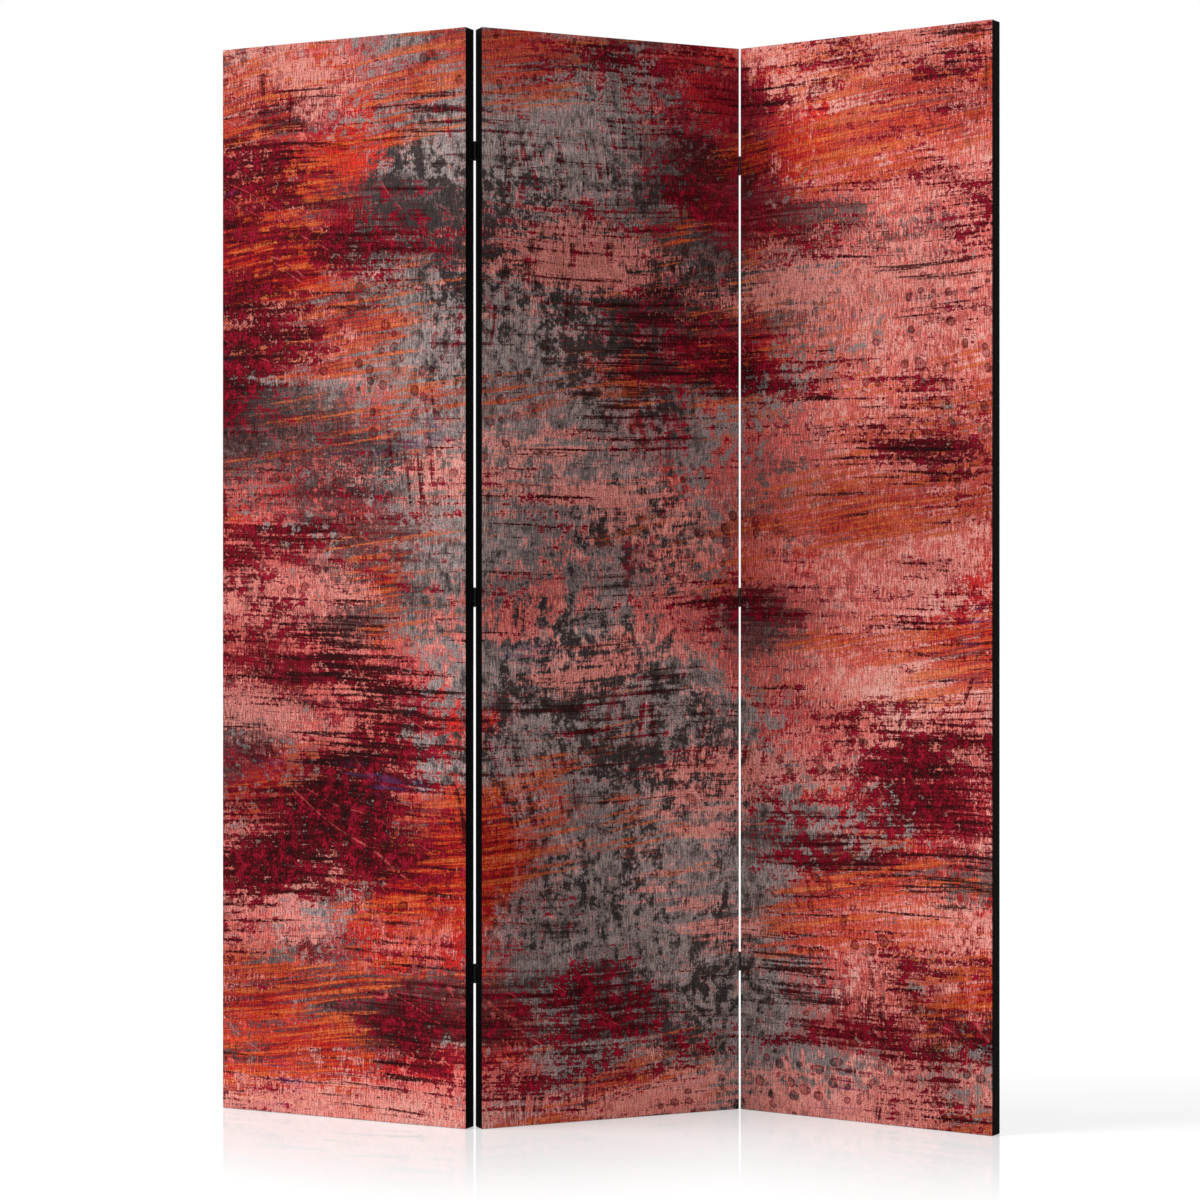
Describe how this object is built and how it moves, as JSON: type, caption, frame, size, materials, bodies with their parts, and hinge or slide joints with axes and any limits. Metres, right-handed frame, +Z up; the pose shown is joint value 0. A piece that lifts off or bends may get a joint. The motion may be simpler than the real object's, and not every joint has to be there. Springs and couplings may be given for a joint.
{
  "type": "folding screen",
  "caption": "Free-standing folding room screen of tall printed canvas panels on wooden stretcher frames, joined edge to edge by small butt hinges so that it stands in a zigzag and folds flat.",
  "frame": {"origin": "on the floor, at the middle of the centre panel's bottom edge", "axes": "+X along the centre panel's width, to the right as seen from the printed side; -Y out of the centre panel's printed front; +Z up"},
  "size_m": [1.0241, 0.7544, 1.72],
  "materials": {
    "printed_canvas": "matt woven canvas, printed front, black wrapped edges",
    "back_cloth": "matt black non-woven cloth",
    "pine": "planed bare pine",
    "hinge_black": "satin black coating on steel",
    "screw_black": "black coated steel"
  },
  "bodies": {
    "centre_panel": {"centre_panel_back_cover": "back_cloth", "centre_panel_bottom_rail": "pine", "centre_panel_canvas": "printed_canvas", "centre_panel_left_stile": "pine", "centre_panel_lower_cross_bar": "pine", "centre_panel_right_stile": "pine", "centre_panel_top_rail": "pine", "centre_panel_upper_cross_bar": "pine", "left_fold_bottom_centre_leaf": "hinge_black", "left_fold_bottom_pin": "hinge_black", "left_fold_centre_screws": "screw_black", "left_fold_middle_centre_leaf": "hinge_black", "left_fold_middle_pin": "hinge_black", "left_fold_top_centre_leaf": "hinge_black", "left_fold_top_pin": "hinge_black", "right_fold_bottom_centre_leaf": "hinge_black", "right_fold_bottom_pin": "hinge_black", "right_fold_centre_screws": "screw_black", "right_fold_middle_centre_leaf": "hinge_black", "right_fold_middle_pin": "hinge_black", "right_fold_top_centre_leaf": "hinge_black", "right_fold_top_pin": "hinge_black"},
    "left_panel": {"left_fold_bottom_side_leaf": "hinge_black", "left_fold_middle_side_leaf": "hinge_black", "left_fold_side_screws": "screw_black", "left_fold_top_side_leaf": "hinge_black", "left_panel_back_cover": "back_cloth", "left_panel_bottom_rail": "pine", "left_panel_canvas": "printed_canvas", "left_panel_left_stile": "pine", "left_panel_lower_cross_bar": "pine", "left_panel_right_stile": "pine", "left_panel_top_rail": "pine", "left_panel_upper_cross_bar": "pine"},
    "right_panel": {"right_fold_bottom_side_leaf": "hinge_black", "right_fold_middle_side_leaf": "hinge_black", "right_fold_side_screws": "screw_black", "right_fold_top_side_leaf": "hinge_black", "right_panel_back_cover": "back_cloth", "right_panel_bottom_rail": "pine", "right_panel_canvas": "printed_canvas", "right_panel_left_stile": "pine", "right_panel_lower_cross_bar": "pine", "right_panel_right_stile": "pine", "right_panel_top_rail": "pine", "right_panel_upper_cross_bar": "pine"}
  },
  "joints": [
    {"name": "left_fold", "type": "hinge", "parent": "centre_panel", "child": "left_panel", "pos_m": [-0.22575, 0.0144, 0.86], "axis": [0, 0, -1], "range_deg": [-50.4, 129.6]},
    {"name": "right_fold", "type": "hinge", "parent": "centre_panel", "child": "right_panel", "pos_m": [0.22575, -0.0144, 0.86], "axis": [0, 0, -1], "range_deg": [-57.6, 122.4]}
  ]
}
